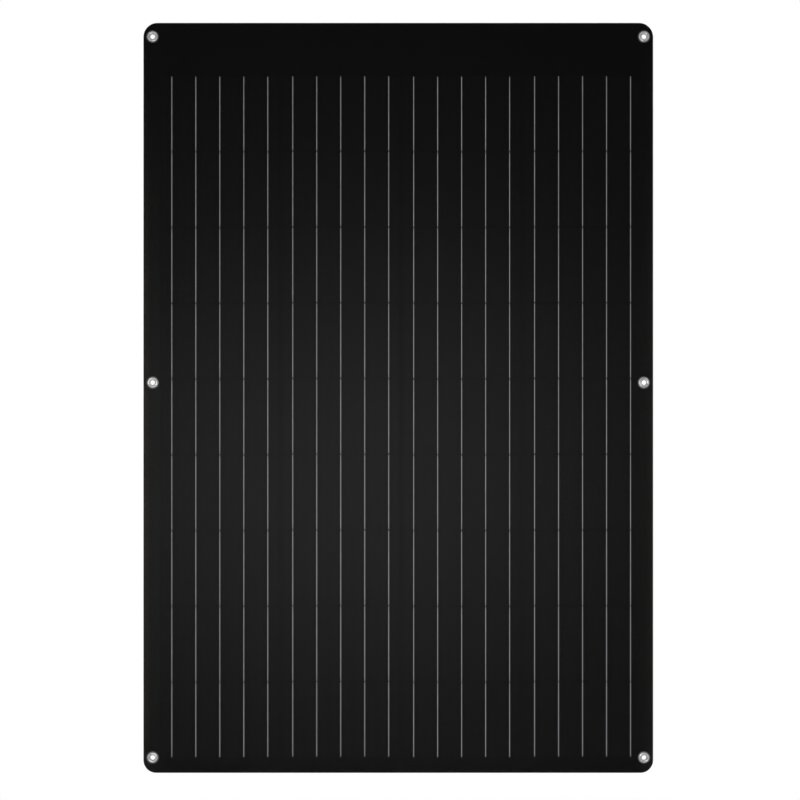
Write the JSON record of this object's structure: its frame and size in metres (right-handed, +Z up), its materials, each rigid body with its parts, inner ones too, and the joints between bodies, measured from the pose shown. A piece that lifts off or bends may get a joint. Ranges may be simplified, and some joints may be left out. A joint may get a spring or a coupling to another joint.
{
  "type": "flexible solar panel",
  "caption": "Thin black flexible solar panel with round metal fixing eyelets along its edges and a low hinged-lid junction box on the rear.",
  "frame": {"origin": "middle of the four corner eyelets, which carry the panel, on the plane of the laminate's flat rear face", "axes": "+X to the right as seen from the sunny side, +Z up the panel towards the blank band, +Y out of the rear face, -Y out of the sunny face"},
  "size_m": [0.666, 0.0218, 0.98],
  "materials": {
    "film": "satin",
    "clear_encapsulant": "satin",
    "black_encapsulant": "matte",
    "glass_fibre": "matte",
    "backsheet": "matte",
    "mask": "matte",
    "silicon": "satin",
    "tinned_copper": "satin",
    "terminal_copper": "satin",
    "eyelet_metal": "polished",
    "steel": "satin",
    "rating_plate": "satin",
    "bonding_pad": "matte",
    "box_plastic": "satin",
    "seal_rubber": "matte",
    "diode_epoxy": "satin"
  },
  "bodies": {
    "panel": {"front_film": "film", "front_encapsulant": "clear_encapsulant", "rear_encapsulant": "black_encapsulant", "backing_board": "glass_fibre", "backsheet": "backsheet", "masking_strips": "mask", "cell_ribbons": "tinned_copper", "bottom_bus_ribbons": "tinned_copper", "negative_bus_ribbon": "tinned_copper", "centre_bus_ribbon": "tinned_copper", "positive_bus_ribbon": "tinned_copper", "eyelets": "eyelet_metal", "eyelet_washers": "eyelet_metal", "rating_plate": "rating_plate", "box_pad": "bonding_pad", "box_base": "box_plastic", "lid_gasket": "seal_rubber", "hinge_pin": "steel", "terminal_rails": "terminal_copper", "terminal_screws": "steel", "bypass_diodes": "diode_epoxy", "gland_nuts": "box_plastic", "gland_seals": "seal_rubber", "cell_row_1_string_1": "silicon", "cell_row_1_string_2": "silicon", "cell_row_1_string_3": "silicon", "cell_row_1_string_4": "silicon", "cell_row_2_string_1": "silicon", "cell_row_2_string_2": "silicon", "cell_row_2_string_3": "silicon", "cell_row_2_string_4": "silicon", "cell_row_3_string_1": "silicon", "cell_row_3_string_2": "silicon", "cell_row_3_string_3": "silicon", "cell_row_3_string_4": "silicon", "cell_row_4_string_1": "silicon", "cell_row_4_string_2": "silicon", "cell_row_4_string_3": "silicon", "cell_row_4_string_4": "silicon", "cell_row_5_string_1": "silicon", "cell_row_5_string_2": "silicon", "cell_row_5_string_3": "silicon", "cell_row_5_string_4": "silicon", "cell_row_6_string_1": "silicon", "cell_row_6_string_2": "silicon", "cell_row_6_string_3": "silicon", "cell_row_6_string_4": "silicon", "cell_row_7_string_1": "silicon", "cell_row_7_string_2": "silicon", "cell_row_7_string_3": "silicon", "cell_row_7_string_4": "silicon", "cell_row_8_string_1": "silicon", "cell_row_8_string_2": "silicon", "cell_row_8_string_3": "silicon", "cell_row_8_string_4": "silicon", "cell_row_9_string_1": "silicon", "cell_row_9_string_2": "silicon", "cell_row_9_string_3": "silicon", "cell_row_9_string_4": "silicon"},
    "lid": {"box_lid": "box_plastic"}
  },
  "joints": [
    {"name": "lid_hinge", "type": "hinge", "parent": "panel", "child": "lid", "pos_m": [0, 0.016, 0.4765], "axis": [1, 0, 0], "range_deg": [0, 110]}
  ]
}
